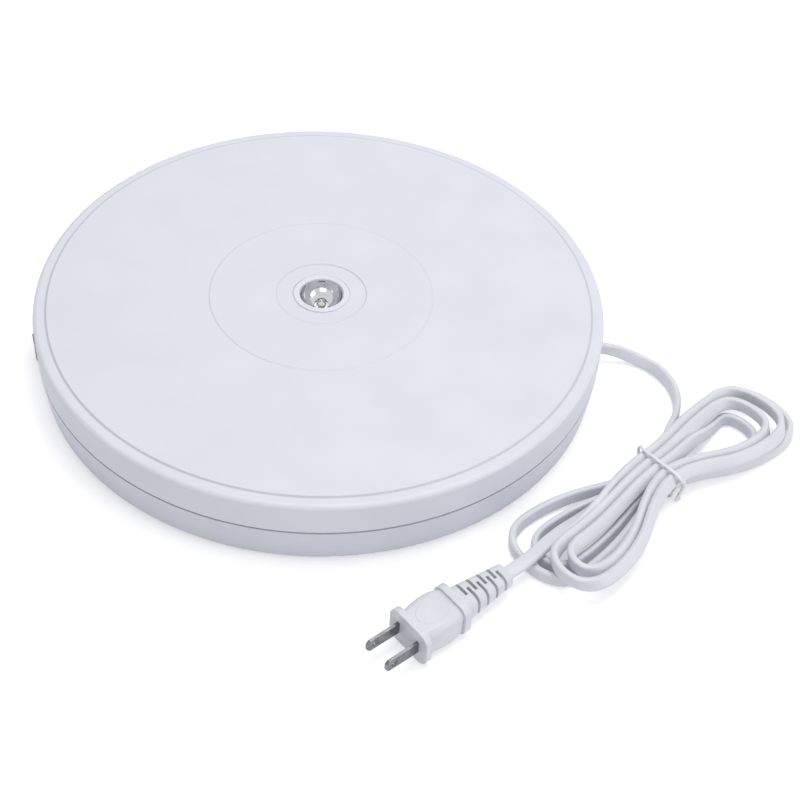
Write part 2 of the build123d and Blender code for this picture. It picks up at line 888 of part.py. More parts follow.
def wire(points):
    route = [Vector(*p) for p in points]
    radii = []
    for a, b, c in zip(route, route[1:], route[2:]):
        turn = math.radians((b - a).get_angle(c - b))
        room = cord_bend_share * min((b - a).length, (c - b).length) / math.tan(turn / 2)
        radii.append(min(wire_bend, room))
    path = FilletPolyline(*route, radius=radii).wire()
    section = Plane(origin=route[0], z_dir=route[1] - route[0]) * Circle(wire_radius)
    return sweep(section, path=path)


def led_wires():
    """Two wires from under the lamp's board, down the post and out to the supply board."""
    edge = supply_y + supply_width / 2 - 2
    wires = []
    for side in (-1, 1):
        step = side * wire_pitch / 2
        drop = -wire_radius - 3 - step
        turn = supply_x - step
        start = (drop, step, board_seat)
        foot = (drop, step, wire_level)
        wires.append(wire([start, foot, (turn, step, wire_level), (turn, edge, wire_level)]))
    return group(wires)


def cord_inner_x():
    return cord_exit_x - cord_inner_length


def motor_wires():
    """Two wires from the side of the motor to the cord's end."""
    motor_x, motor_y = around(motor_offset, motor_angle)
    wires = []
    for side in (-1, 1):
        step = side * wire_pitch / 2
        shift_x, shift_y = around(step, motor_wire_angle + 90)
        start_x, start_y = around(motor_radius, motor_wire_angle)
        bend_x, bend_y = around(motor_radius + 34, motor_wire_angle)
        wires.append(
            wire(
                [
                    (motor_x + start_x + shift_x, motor_y + start_y + shift_y, wire_level),
                    (motor_x + bend_x + shift_x, motor_y + bend_y + shift_y, wire_level),
                    (cord_inner_x() - 14, cord_exit_y + step, wire_level),
                    (cord_inner_x(), cord_exit_y + step, wire_level),
                ]
            )
        )
    return group(wires)


def switch_wires():
    depth = switch_body_depth + terminal_length
    wires = []
    for side in (-1, 1):
        step = side * wire_pitch / 2
        pole = side * terminal_pitch / 2
        tab_end = (switch_place() * Pos(-depth, -pole, 0)).position
        tab_out = (switch_place() * Pos(-depth - 12, -pole, 0)).position
        wires.append(
            wire(
                [
                    (cord_inner_x(), cord_exit_y + step, wire_low_level),
                    (cord_inner_x() - 14, cord_exit_y + step, wire_low_level),
                    (38, -40 + step, wire_low_level),
                    (-66, -40 + step, wire_low_level),
                    (tab_out.X, tab_out.Y, tab_out.Z),
                    (tab_end.X, tab_end.Y, tab_end.Z),
                ]
            )
        )
    return group(wires)


# Cord inside the wall, its grommet and clamp

def inner_cord():
    return upright_slot(cord_width, cord_thickness, cord_inner_x(), cord_exit_x, cord_exit_y, cord_exit_height)


def cord_grommet():
    length = cord_width + 2 * grommet_wall
    thickness = cord_thickness + 2 * grommet_wall
    lip_front = cord_exit_wall - wall - grommet_lip
    lip_back = lip_front - grommet_wall
    body = upright_slot(length, thickness, lip_back, cord_exit_x, cord_exit_y, cord_exit_height)
    lip_length = length + 2 * grommet_lip_rise
    lip_thickness = thickness + 2 * grommet_lip
    lip = upright_slot(lip_length, lip_thickness, lip_back, lip_front, cord_exit_y, cord_exit_height)
    bore = upright_slot(cord_width, cord_thickness, lip_back - 1, cord_exit_x + 1, cord_exit_y, cord_exit_height)
    return body + lip - bore


def cord_clamp():
    reach = cord_thickness / 2 + clamp_post_gap
    bar = block(clamp_width, 2 * reach, clamp_seat, clamp_seat + clamp_thickness, clamp_x, cord_exit_y)
    for x, y in clamp_holes():
        bar += disc(clamp_width / 2, clamp_seat, clamp_seat + clamp_thickness, x, y)
    for x, y in clamp_holes():
        bar -= disc(screw_radius + hole_clearance, clamp_seat - 1, clamp_seat + clamp_thickness + 1, x, y)
    return bar


# Free cord

def bend_radii(points):
    route = [Vector(*p) for p in points]
    radii = []
    for a, b, c in zip(route, route[1:], route[2:]):
        turn = math.radians((b - a).get_angle(c - b))
        shorter = min((b - a).length, (c - b).length)
        radii.append(cord_bend_share * shorter / math.tan(turn / 2))
    return radii


def cord_wire(points):
    return FilletPolyline(*points, radius=bend_radii(points)).wire()


def swept_cord(name, points):
    path = cord_wire(points)
    section = Plane(origin=path @ 0, x_dir=(0, 0, 1), z_dir=path % 0) * SlotOverall(cord_width, cord_thickness)
    solid = sweep(section, path=path)
    share = solid.volume / (section.area * path.length)
    tightest = min(bend_radii(points))
    print(f"{name}: length {path.length:.1f}, volume share {share:.4f}, tightest bend {tightest:.1f}")
    return solid


def hank_point(u, v, z):
    turn = math.radians(hank_turn)
    x = hank_x + u * math.cos(turn) - v * math.sin(turn)
    y = hank_y + u * math.sin(turn) + v * math.cos(turn)
    return (x, y, z)


def pass_offset(index):
    """How far across the waist a pass lies: the outer ones of the lower layer come first."""
    side = -1 if index % 2 else 1
    if index < hank_lower_passes:
        return side * (1.5 - index // 2) * hank_waist_pitch
    return side * ((index - hank_lower_passes + 1) // 2) * hank_waist_pitch


def pass_height(index):
    layer = 0 if index < hank_lower_passes else 1
    return cord_floor_height + layer * hank_layer_pitch


def loop_points(turn, far):
    """The corner points of one half turn, between two passes of the waist.

    A half turn that ends in the upper layer climbs there on the straight way back.
    """
    reach = (hank_far_reach if far else hank_near_reach)[turn]
    knee = (hank_far_knee if far else hank_near_knee)[turn]
    half = (hank_far_half_width if far else hank_near_half_width)[turn]
    lean = (hank_far_lean if far else hank_near_lean)[turn]
    way = 1 if far else -1
    first = 2 * turn + (1 if far else 0)
    before = pass_height(first)
    after = pass_height(first + 1)
    points = [
        hank_point(way * knee, lean - way * half, before),
        hank_point(way * reach, lean - way * half, before),
        hank_point(way * reach, lean + way * half, before),
    ]
    if after == before:
        return points + [hank_point(way * knee, lean + way * half, after)]
    for share, height in zip(hank_ramp, (before, after)):
        u = reach + share * (hank_waist_half - reach)
        v = lean + way * half
        v += share * (pass_offset(first + 1) - v)
        points.append(hank_point(way * u, v, height))
    return points


def waist_point(index, far):
    u = hank_waist_half if far else -hank_waist_half
    return hank_point(u, pass_offset(index), pass_height(index) + hank_lift)


def hank_points():
    turns = len(hank_near_reach)
    points = [hank_start()]
    for turn in range(turns):
        points += [waist_point(2 * turn, True), waist_point(2 * turn, False)]
        points += loop_points(turn, False)
        points += [waist_point(2 * turn + 1, False), waist_point(2 * turn + 1, True)]
        points += loop_points(turn, True)
    points += [waist_point(2 * turns, True), waist_point(2 * turns, False), hank_end()]
    return points


def between(first, second):
    return tuple((a + b) / 2 for a, b in zip(first, second))


def lead_corner():
    return hank_point(*hank_entry, cord_floor_height)


def tail_corner():
    return hank_point(*hank_exit, pass_height(2 * len(hank_near_reach)))


def hank_start():
    return between(lead_corner(), waist_point(0, True))


def hank_end():
    return between(waist_point(2 * len(hank_near_reach), False), tail_corner())


def cord_lead():
    points = [
        (cord_exit_x, cord_exit_y, cord_exit_height),
        (outer_radius + lead_straight, cord_exit_y, cord_exit_height),
    ]
    points += [(outer_radius + out, y, cord_floor_height) for out, y in lead_bend]
    points += [lead_corner(), hank_start()]
    return swept_cord("cord_lead", points)


def plug_point(along, across, z):
    turn = math.radians(plug_turn)
    x = plug_x + along * math.cos(turn) + across * math.sin(turn)
    y = plug_y + along * math.sin(turn) - across * math.cos(turn)
    return (x, y, z)


def cord_tail():
    top = pass_height(2 * len(hank_near_reach))
    points = [
        hank_end(),
        tail_corner(),
        hank_point(-64.0, 5.4, top),
        hank_point(-83.5, 3.4, top),
        plug_point(plug_length + 6.5, 0, plug_axis),
        plug_point(plug_length, 0, plug_axis),
    ]
    return swept_cord("cord_tail", points)


def hank_gap():
    """The least gap between stretches of the hank, taking each section as a band on edge."""
    path = cord_wire(hank_points())
    step = 1.5
    count = int(path.length / step)
    samples = [path @ (i / count) for i in range(count + 1)]
    band = cord_width - cord_thickness
    skip = int(4 * cord_width / step)
    least = cord_width
    for i, a in enumerate(samples):
        for b in samples[i + skip:]:
            flat = (a.X - b.X) ** 2 + (a.Y - b.Y) ** 2
            rise = max(0.0, abs(a.Z - b.Z) - band)
            least = min(least, math.sqrt(flat + rise ** 2) - cord_thickness)
    return least


def cord_hank():
    print(f"least gap in the hank: {hank_gap():.2f}")
    return swept_cord("cord_hank", hank_points())


def twist_tie():
    """A coated wire once round the waist, its two ends side by side on the outer side."""
    side = 2 * hank_waist_pitch + cord_thickness / 2 + tie_clearance + tie_radius
    low = cord_floor_gap + tie_radius
    top = pass_height(hank_lower_passes) + hank_lift + cord_width / 2 + tie_clearance + tie_radius
    pair = 2 * tie_radius + tie_pair_gap
    lower_neck = low + (top - low) * 0.35
    upper_neck = lower_neck + pair
    flat = [
        (tie_end_spread, -side - 2 * tie_neck, low + 1),
        (0, -side - tie_neck, upper_neck),
        (0, -side, upper_neck),
        (0, -side, top),
        (0, side, top),
        (0, side, low),
        (0, -side, low),
        (0, -side, lower_neck),
        (0, -side - tie_neck, lower_neck),
        (-tie_end_spread, -side - 2 * tie_neck, low),
    ]
    route = [Vector(*hank_point(*p)) for p in flat]
    radii = []
    for a, b, c in zip(route, route[1:], route[2:]):
        turn = math.radians((b - a).get_angle(c - b))
        room = cord_bend_share * min((b - a).length, (c - b).length) / math.tan(turn / 2)
        radii.append(min(4 * tie_radius, room))
    path = FilletPolyline(*route, radius=radii).wire()
    section = Plane(origin=route[0], z_dir=route[1] - route[0]) * Circle(tie_radius)
    return sweep(section, path=path)


# Plug

def upright_section(along, width, height, round_radius):
    plane = Plane(origin=(along, 0, plug_axis), x_dir=(0, 1, 0), z_dir=(1, 0, 0))
    return plane * RectangleRounded(width, height, round_radius)


def plug_place():
    return Pos(plug_x, plug_y, 0) * Rot(0, 0, plug_turn)


def blade(side):
    length = blade_length + blade_seat
    bar = Box(length, blade_thickness, blade_height, align=(Align.MIN, Align.CENTER, Align.CENTER))
    tip = bar.faces().sort_by(Axis.X)[0]
    bar = chamfer(tip.edges().filter_by(Axis.Y), blade_chamfer)
    bar -= Pos(blade_hole_inset, 0, 0) * Rot(90, 0, 0) * Cylinder(blade_hole_radius, 2 * blade_thickness)
    return Pos(-blade_length, side * blade_pitch / 2, plug_axis) * bar


def relief_slots_shape():
    """The cross slots that let the strain relief bend, from each flank by turns, down to its core."""
    cuts = []
    for i in range(relief_slots):
        along = relief_begin + relief_slot_first + i * relief_slot_pitch
        side = -1 if i % 2 else 1
        reach = relief_start[0] / 2 - relief_slot_overlap
        slot = Box(relief_slot_width, relief_start[0], 2 * relief_start[1])
        slot = Pos(along, side * reach, plug_axis) * slot
        core = Pos(along, 0, plug_axis) * Box(2 * relief_slot_width, *relief_core)
        cuts.append(slot - core)
    return cuts


def plug_body():
    body = extrude(upright_section(0, plug_flange_width, plug_height, plug_flange_round), plug_flange_thickness)
    grip = [
        upright_section(plug_flange_thickness + at, width, height, plug_grip_round)
        for at, width, height in plug_grip_sections
    ]
    body += loft(grip)
    rear_start = plug_flange_thickness + plug_grip_sections[-1][0]
    rear = upright_section(rear_start, plug_rear_width, plug_rear_height, plug_rear_round)
    body += extrude(rear, plug_rear_thickness)
    relief = [upright_section(relief_begin, *relief_start), upright_section(plug_length, *relief_end)]
    body += loft(relief)
    for cut in relief_slots_shape():
        body -= cut
    for side in (-1, 1):
        body -= Pos(0, side * blade_pitch / 2, plug_axis) * Box(2 * blade_seat, blade_thickness, blade_height)
    return plug_place() * body


def plug_blades():
    return group([plug_place() * blade(side) for side in (-1, 1)])


def screws(places, seat, radius, length, head_radius, head_height, up=True):
    return group([screw(x, y, seat, radius, length, head_radius, head_height, up) for x, y in places])


def all_nodes():
    nodes = {
        "base_shell": base_shell(),
        "centre_post": centre_post(),
        "thrust_washer": thrust_washer(),
        "hub_bush": hub_bush(),
        "snap_ring": snap_ring(),
        "platter": platter(),
        "ring_gear": ring_gear(),
        "drive_pinion": drive_pinion(),
        "motor_shaft": motor_shaft(),
        "pinion_clip": pinion_clip(),
        "motor_can": motor_can(),
        "motor_cover": motor_cover(),
        "led_board": led_board(),
        "led_lamp": led_lamp(),
        "led_leads": led_leads(),
        "reflector_cup": reflector_cup(),
        "light_bezel": light_bezel(),
        "power_board": power_board(),
        "film_capacitor": film_capacitor(),
        "smoothing_capacitor": smoothing_capacitor(),
        "bridge_rectifier": bridge_rectifier(),
        "bleed_resistor": bleed_resistor(),
        "switch_housing": switch_housing(),
        "switch_rocker": switch_rocker(),
        "switch_terminals": switch_terminals(),
        "led_wires": led_wires(),
        "motor_wires": motor_wires(),
        "switch_wires": switch_wires(),
        "inner_cord": inner_cord(),
        "cord_grommet": cord_grommet(),
        "cord_clamp": cord_clamp(),
        "cord_lead": cord_lead(),
        "cord_hank": cord_hank(),
        "cord_tail": cord_tail(),
        "twist_tie": twist_tie(),
        "plug_body": plug_body(),
        "plug_blades": plug_blades(),
    }
    for i, angle in enumerate(spokes(foot_count, foot_first_angle)):
        nodes[f"rubber_foot_{i + 1}"] = rubber_foot(angle)
    for i, angle in enumerate(spokes(roller_count, roller_first_angle)):
        nodes[f"support_roller_{i + 1}"] = support_roller(angle)
        nodes[f"roller_axle_{i + 1}"] = roller_axle(angle)
    post_seat = shell_bottom + post_screw_sink
    pan = (screw_radius, screw_length, screw_head_radius)
    nodes["post_screws"] = screws(post_screw_places(), post_seat, *pan, post_screw_head_height, up=False)
    nodes["motor_screws"] = screws(motor_ears(), motor_top, *pan, screw_head_height)
    nodes["clamp_screws"] = screws(clamp_holes(), clamp_seat + clamp_thickness, *pan, screw_head_height)
    gear = (gear_screw_radius, gear_screw_length, gear_screw_head_radius, screw_head_height)
    nodes["gear_screws"] = screws(gear_screw_places(), ring_flange_bottom, *gear, up=False)
    small = (supply_screw_radius, supply_screw_length, supply_screw_head_radius, supply_screw_head_height)
    nodes["board_screws"] = screws(supply_holes(), supply_top, *small)
    return nodes


os.makedirs("parts", exist_ok=True)
for name, shape in all_nodes().items():
    export_step(shape, f"parts/{name}.step")
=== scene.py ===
import math

import bpy
from mathutils import Matrix, Vector


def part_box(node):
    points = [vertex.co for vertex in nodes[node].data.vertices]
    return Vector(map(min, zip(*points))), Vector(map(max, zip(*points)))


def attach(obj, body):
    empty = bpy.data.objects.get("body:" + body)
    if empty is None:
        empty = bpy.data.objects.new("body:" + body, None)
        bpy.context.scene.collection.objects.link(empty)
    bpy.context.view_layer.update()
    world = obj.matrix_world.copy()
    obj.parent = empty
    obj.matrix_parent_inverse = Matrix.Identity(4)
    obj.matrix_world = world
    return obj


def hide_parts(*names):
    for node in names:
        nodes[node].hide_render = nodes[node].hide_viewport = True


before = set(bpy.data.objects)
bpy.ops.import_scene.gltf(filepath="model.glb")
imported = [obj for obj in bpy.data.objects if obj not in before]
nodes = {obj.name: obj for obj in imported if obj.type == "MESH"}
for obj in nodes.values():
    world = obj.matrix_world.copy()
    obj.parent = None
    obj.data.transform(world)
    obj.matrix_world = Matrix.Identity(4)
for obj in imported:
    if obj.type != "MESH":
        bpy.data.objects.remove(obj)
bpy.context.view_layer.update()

mm = 0.001

# The cord and the frame of its hank, in millimetres and radians, as in the part's source.
# The first passes of the waist stand on the floor, and the rest lie in a layer on top of them
cord_width = 6.6
cord_thickness = 3.3
cord_corner = 1.3
cord_floor = 3.5
cord_exit = (139.47, -5.0, 8.6)
hank_x = 159.0
hank_y = -92.0
hank_turn = math.radians(41.0)
waist_half = 11.0
waist_pitch = 4.5
waist_lift = 2.1
layer_pitch = 7.3
lower_passes = 4
ramp_shares = (0.32, 0.66)

# The hank's loops, turn by turn, at its near end (by the plug) and at its far end: how far each
# reaches out, where it stops widening, half its width, and how far its middle lies to one side
near_reach = (82.5, 75.5, 71.0, 79.0)
near_knee = (46.0, 44.0, 45.0, 45.0)
near_half = (19.5, 11.5, 8.7, 13.7)
near_shift = (4.0, 2.0, -14.0, -14.0)
far_reach = (83.5, 62.0, 66.5, 75.0)
far_knee = (46.0, 34.0, 40.0, 40.0)
far_half = (20.0, 11.3, 13.8, 18.6)
far_shift = (-4.0, -4.0, -4.0, -4.0)

# The plug's place, and the places the cord passes between the wall, the hank and the plug
plug_x = 38.7
plug_y = -187.0
plug_turn = math.radians(37.7)
plug_axis = 9.25
plug_length = 54.9
lead_places = (
    (147.0, -5.0, 8.6),
    (160.5, -6.5, cord_floor),
    (172.0, -15.5, cord_floor),
    (178.2, -30.0, cord_floor),
    (176.5, -47.0, cord_floor),
)
lead_join = (28.0, 17.5)
tail_places = ((-44.0, 4.2, 0.0), (-64.0, 5.4, -2.0), (-83.5, 3.4, -1.6))
tail_straight = 6.5
tail_inside = 2.0

# How far the flat cord leans from standing on edge, in degrees, and over what lengths, in metres
low_lean = -12.0
high_lean = -40.0
tail_lean = -90.0
tail_flat_from = 0.085
tail_twist = 0.05
lead_lean = -42.0
lead_lean_from = 0.006
lead_lean_length = 0.07

# The twist tie, a flat coated wire, in millimetres: its section, the room it leaves at the sides,
# above and below the waist, and the strands of its twisted ends
tie_width = 1.7
tie_thickness = 1.0
tie_room = 1.5
tie_lower_room = 1.4
tie_over = 0.9
tie_under = 1.0
twist_steps = 9
strand_across = 0.7
strand_deep = 0.5

# How finely the cord's and the tie's splines are drawn, and their least step in millimetres
spline_order = 3
spline_steps = 12
least_step = 0.01

# The faint oval on the plug's grip, in millimetres: its place, size, wire and depth in the plug
oval_along = 13.0
oval_radius = 6.2
oval_stretch = (1.25, 0.95, 0.6)
oval_wire = 0.22
oval_sunk = 0.03

# The moulded circles of the platter, each with a thin line of painted shade, in millimetres: radius, half
# width and shade
platter_shade_circles = ((133.8, 0.8, "E4E5E9"), (55.1, 0.6, "F7F7F9"), (22.2, 0.6, "F3F3F5"))

# The studio, in metres: the room's light, the card's lift to white near the object and far from it,
# and each softbox's name, place, size and power
room_light = 0.44
card_lift = (0.44, 0.9)
card_lift_range = (0.5, 2.5)
card_size = 60.0
card_height = -0.0001
softboxes = (
    ("overhead_softbox", (0.15, 0.2, 1.5), 0.9, 11.6),
    ("right_softbox", (1.2, -0.7, 0.55), 0.8, 3.6),
    ("front_softbox", (-0.2, -1.5, 0.4), 1.0, 2.5),
)
camera_lens = 68.81
camera_place = (0.0, -0.5725, 0.5334)
camera_right = (0.9985, -0.0257, 0.0485)
camera_ahead = (0.0524, 0.7079, -0.7043)


def new_object(name, data):
    """A new object, linked to the scene."""
    piece = bpy.data.objects.new(name, data)
    bpy.context.scene.collection.objects.link(piece)
    return piece


# Camera

def set_camera():
    """A tabletop view from in front and above, nearly level."""
    data = bpy.data.cameras.new("camera")
    data.sensor_width = 36.0
    data.lens = camera_lens
    data.clip_start = 0.01
    camera = new_object("camera", data)
    right = Vector(camera_right).normalized()
    ahead = Vector(camera_ahead).normalized()
    up = right.cross(ahead).normalized()
    right = ahead.cross(up)
    turn = Matrix((right, up, -ahead)).transposed()
    camera.matrix_world = Matrix.Translation(camera_place) @ turn.to_4x4()
    bpy.context.scene.camera = camera


# Cord route

def hank_point(u, v, z):
    """A place in metres, from millimetres along and across the hank."""
    x = hank_x + u * math.cos(hank_turn) - v * math.sin(hank_turn)
    y = hank_y + u * math.sin(hank_turn) + v * math.cos(hank_turn)
    return (x * mm, y * mm, z * mm)


def plug_point(along, across, z):
    """A place in metres, from millimetres along and across the plug."""
    x = plug_x + along * math.cos(plug_turn) + across * math.sin(plug_turn)
    y = plug_y + along * math.sin(plug_turn) - across * math.cos(plug_turn)
    return (x * mm, y * mm, z * mm)


def pass_offset(index):
    """How far a pass of the waist lies from the hank's middle."""
    side = -1 if index % 2 else 1
    if index < lower_passes:
        return side * (1.5 - index // 2) * waist_pitch
    return side * ((index - lower_passes + 1) // 2) * waist_pitch


def pass_height(index):
    """How high a pass runs outside the waist."""
    return cord_floor + (0.0 if index < lower_passes else layer_pitch)


def waist_point(index, far):
    """Where a pass crosses one edge of the waist."""
    u = waist_half if far else -waist_half
    return hank_point(u, pass_offset(index), pass_height(index) + waist_lift)


def half_turn(turn, far):
    """The route's points round one end of the hank, between two passes of the waist."""
    reach = (far_reach if far else near_reach)[turn]
    knee = (far_knee if far else near_knee)[turn]
    half = (far_half if far else near_half)[turn]
    shift = (far_shift if far else near_shift)[turn]
    way = 1 if far else -1
    first = 2 * turn + (1 if far else 0)
    before = pass_height(first)
    after = pass_height(first + 1)
    points = [
        hank_point(way * knee, shift - way * half, before),
        hank_point(way * reach, shift - way * half, before),
        hank_point(way * reach, shift + way * half, before),
    ]
    if after == before:
        return points + [hank_point(way * knee, shift + way * half, after)]
    for share, height in zip(ramp_shares, (before, after)):
        u = reach + share * (waist_half - reach)
        v = shift + way * half
        v += share * (pass_offset(first + 1) - v)
        points.append(hank_point(way * u, v, height))
    return points


def cord_route():
    """The whole cord: from the wall to the floor, round the hank, and along the tail to the plug."""
    turns = len(near_reach)
    top = pass_height(2 * turns)
    points = [tuple(c * mm for c in place) for place in (cord_exit, *lead_places)]
    points.append(hank_point(*lead_join, cord_floor))
    for turn in range(turns):
        points += [waist_point(2 * turn, True), waist_point(2 * turn, False)]
        points += half_turn(turn, False)
        points += [waist_point(2 * turn + 1, False), waist_point(2 * turn + 1, True)]
        points += half_turn(turn, True)
    points += [waist_point(2 * turns, True), waist_point(2 * turns, False)]
    points += [hank_point(u, v, top + rise) for u, v, rise in tail_places]
    points.append(plug_point(plug_length + tail_straight, 0.0, plug_axis))
    points.append(plug_point(plug_length - tail_inside, 0.0, plug_axis))
    return points


def smooth_line(name, points):
    """The line that the route's NURBS spline draws, as its points."""
    curve = bpy.data.curves.new(name, "CURVE")
    curve.dimensions = "3D"
    curve.resolution_u = spline_steps
    spline = curve.splines.new("NURBS")
    spline.points.add(len(points) - 1)
    for target, place in zip(spline.points, points):
        target.co = (*place, 1.0)
    spline.order_u = spline_order
    spline.use_endpoint_u = True
    holder = bpy.data.objects.new(name, curve)
    drawn = bpy.data.meshes.new_from_object(holder)
    line = []
    for vertex in drawn.vertices:
        if not line or (vertex.co - line[-1]).length > least_step * mm:
            line.append(vertex.co.copy())
    bpy.data.objects.remove(holder)
    bpy.data.meshes.remove(drawn)
    return line


def distances(line):
    """How far along the line each of its points is."""
    total = [0.0]
    for a, b in zip(line, line[1:]):
        total.append(total[-1] + (b - a).length)
    return total


def heading(line, i):
    """The line's direction at one of its points."""
    return (line[min(i + 1, len(line) - 1)] - line[max(i - 1, 0)]).normalized()


def tube_along(name, line, outline, leans, axis=(0.0, 0.0, 1.0)):
    """A closed tube. Its outline's first side is near the axis, leaned over at each point."""
    corners = []
    for i, place in enumerate(line):
        ahead = heading(line, i)
        upright = Vector(axis)
        upright = (upright - ahead * upright.dot(ahead)).normalized()
        upright = Matrix.Rotation(leans[i], 3, ahead) @ upright
        across = ahead.cross(upright)
        corners += [tuple(place + upright * a + across * b) for a, b in outline]
    count = len(outline)
    last = len(corners) - count
    faces = []
    for ring in range(0, last, count):
        for k in range(count):
            after = (k + 1) % count
            faces.append((ring + k, ring + after, ring + count + after, ring + count + k))
    faces.append(tuple(reversed(range(count))))
    faces.append(tuple(last + k for k in range(count)))
    mesh = bpy.data.meshes.new(name)
    mesh.from_pydata(corners, [], faces)
    far = distances(line)
    sheet = mesh.uv_layers.new(name="along_and_round")
    for face in mesh.polygons:
        for loop in face.loop_indices:
            vertex = mesh.loops[loop].vertex_index
            sheet.data[loop].uv = (vertex % count / count, far[vertex // count])
        face.use_smooth = len(face.vertices) == 4
    return new_object(name, mesh)


def lead_outline():
    """The flat lead's section: two cores under one smooth jacket with rounded edges."""
    wide = cord_width / 2 - cord_corner
    deep = cord_thickness / 2 - cord_corner
    outline = []
    for quarter, (a, b) in enumerate(((wide, deep), (-wide, deep), (-wide, -deep), (wide, -deep))):
        for step in range(5):
            angle = math.radians(90.0 * quarter + 22.5 * step)
            a_out = a + cord_corner * math.cos(angle)
            b_out = b + cord_corner * math.sin(angle)
            outline.append((a_out * mm, b_out * mm))
    return outline


def limited(share):
    """A share, kept between none and all."""
    return min(1.0, max(0.0, share))


def cord_leans(line):
    """The cord's lean at each point: on edge in the turns, leaning in the upper layer, flat at the plug."""
    far = distances(line)
    along = Vector((math.cos(hank_turn), math.sin(hank_turn), 0.0))
    leans = []
    for i, s in enumerate(far):
        layer = limited((line[i].z / mm - cord_floor - waist_lift) / (layer_pitch - waist_lift))
        lean = math.radians(low_lean + layer * (high_lean - low_lean))
        lean *= heading(line, i).dot(along) ** 3
        started = limited((s - lead_lean_from) / lead_lean_length)
        swing = math.sin(math.pi * min(1.0, 2 * started) / 2) * math.cos(math.pi * started / 2) ** 2
        lean = lean * max(0.0, 2 * started - 1) + math.radians(lead_lean) * swing
        flat = limited((s - (far[-1] - tail_flat_from)) / tail_twist)
        leans.append(lean * (1.0 - flat) + math.radians(tail_lean) * flat)
    return leans


def lay_cord():
    """The cord's tube, and the line it follows."""
    line = smooth_line("cord_line", cord_route())
    return tube_along("cord", line, lead_outline(), cord_leans(line)), line


# Twist tie

def twisted(side, top, first):
    """One strand of the tie's twisted ends, which hang down beside the waist in a slight bow."""
    bow = ((0.6, 0.5, top - 2.6), (5.2, 1.6, top - 6.5), (1.6, 0.2, 2.9))
    points = []
    for step in range(twist_steps + 1):
        t = step / twist_steps
        shares = ((1 - t) ** 2, 2 * t * (1 - t), t * t)
        u, out, z = (sum(share * place[k] for share, place in zip(shares, bow)) for k in range(3))
        angle = math.radians(first + 90.0 * step)
        u += strand_across * math.cos(angle)
        points.append((u, -side - out - strand_deep * math.sin(angle), z + strand_deep * math.sin(angle)))
    return points


def tie_route():
    """The tie's wire: once round the waist, slack on the inner side, its ends twisted on the outer."""
    side = 2 * waist_pitch + cord_thickness / 2 + tie_room
    lower_side = 1.5 * waist_pitch + cord_thickness / 2 + tie_lower_room
    top = pass_height(lower_passes) + waist_lift + cord_width / 2 + tie_over
    over = [
        (0.0, -side - 0.2, top - 1.2),
        (0.0, -side + 1.6, top),
        (0.0, 0.0, top + 0.2),
        (0.0, side - 2.4, top),
    ]
    slack = [
        (0.5, side + 0.6, top + 0.2),
        (1.2, side + 2.0, top - 1.4),
        (1.2, side + 1.8, top - 4.4),
        (0.4, side - 0.2, top - 6.6),
    ]
    under = [
        (0.0, lower_side + 0.2, 5.0),
        (0.0, lower_side - 0.2, tie_under + 0.6),
        (0.0, lower_side - 2.0, tie_under),
        (0.0, 2.0 - lower_side, tie_under),
        (0.0, 0.2 - lower_side, tie_under + 0.6),
        (-0.5, -lower_side - 0.4, 5.0),
        (-0.9, -side, top - 6.0),
    ]
    first_end = [(0.2, -side - 0.9, 1.2), *reversed(twisted(side, top, 90.0))]
    last_end = [*twisted(side, top, -90.0), (2.2, -side - 1.1, 1.2)]
    return [hank_point(*place) for place in first_end + over + slack + under + last_end]


def tie_outline():
    """The coated wire's flat section, with round edges."""
    radius = tie_thickness / 2
    outline = []
    for step in range(12):
        angle = math.radians(15.0 + step * 30.0)
        edge = math.copysign((tie_width - tie_thickness) / 2, math.cos(angle))
        outline.append(((edge + radius * math.cos(angle)) * mm, radius * math.sin(angle) * mm))
    return outline


def tie_tube():
    """The tie's tube, its flat face towards the waist."""
    line = smooth_line("tie_line", tie_route())
    along = (math.cos(hank_turn), math.sin(hank_turn), 0.0)
    return tube_along("tie_wire", line, tie_outline(), [0.0] * len(line), along)


# Pieces made one by one

def turned_piece(name, outline, steps=72):
    """A closed ring or cup: the outline in millimetres of radius and height, spun round the upright axis."""
    bpy.ops.object.select_all(action="DESELECT")
    mesh = bpy.data.meshes.new(name)
    corners = [(r * mm, 0.0, z * mm) for r, z in outline]
    mesh.from_pydata(corners, [(i, (i + 1) % len(corners)) for i in range(len(corners))], [])
    piece = new_object(name, mesh)
    bpy.context.view_layer.objects.active = piece
    piece.select_set(True)
    bpy.ops.object.mode_set(mode="EDIT")
    bpy.ops.mesh.select_all(action="SELECT")
    bpy.ops.mesh.spin(steps=steps, angle=math.tau, center=(0.0, 0.0, 0.0), axis=(0.0, 0.0, 1.0))
    bpy.ops.mesh.select_all(action="SELECT")
    bpy.ops.mesh.remove_doubles(threshold=0.00001)
    bpy.ops.mesh.normals_make_consistent(inside=False)
    bpy.ops.object.mode_set(mode="OBJECT")
    bpy.ops.object.shade_smooth_by_angle(angle=math.radians(35.0))
    return piece


def gap_ring():
    """The bezel's foot, seen at the bottom of the narrow gap round it."""
    return turned_piece("bezel_foot", [(13.75, 35.9), (14.1, 35.9), (14.1, 36.72), (13.75, 36.72)])


def lamp_anvil():
    """The small metal cup that holds the lamp's die, inside the clear dome."""
    cup = [(0.02, 28.6), (1.15, 28.6), (1.25, 29.0), (1.75, 30.3), (1.6, 30.35), (1.0, 29.35), (0.02, 29.3)]
    return turned_piece("lamp_anvil", cup, steps=36)


def lamp_die():
    """The die under its round drop of phosphor."""
    drop = [(0.02, 29.32), (0.98, 29.38), (1.2, 29.8), (0.9, 30.05), (0.5, 30.15), (0.02, 30.2)]
    return turned_piece("lamp_die", drop, steps=36)


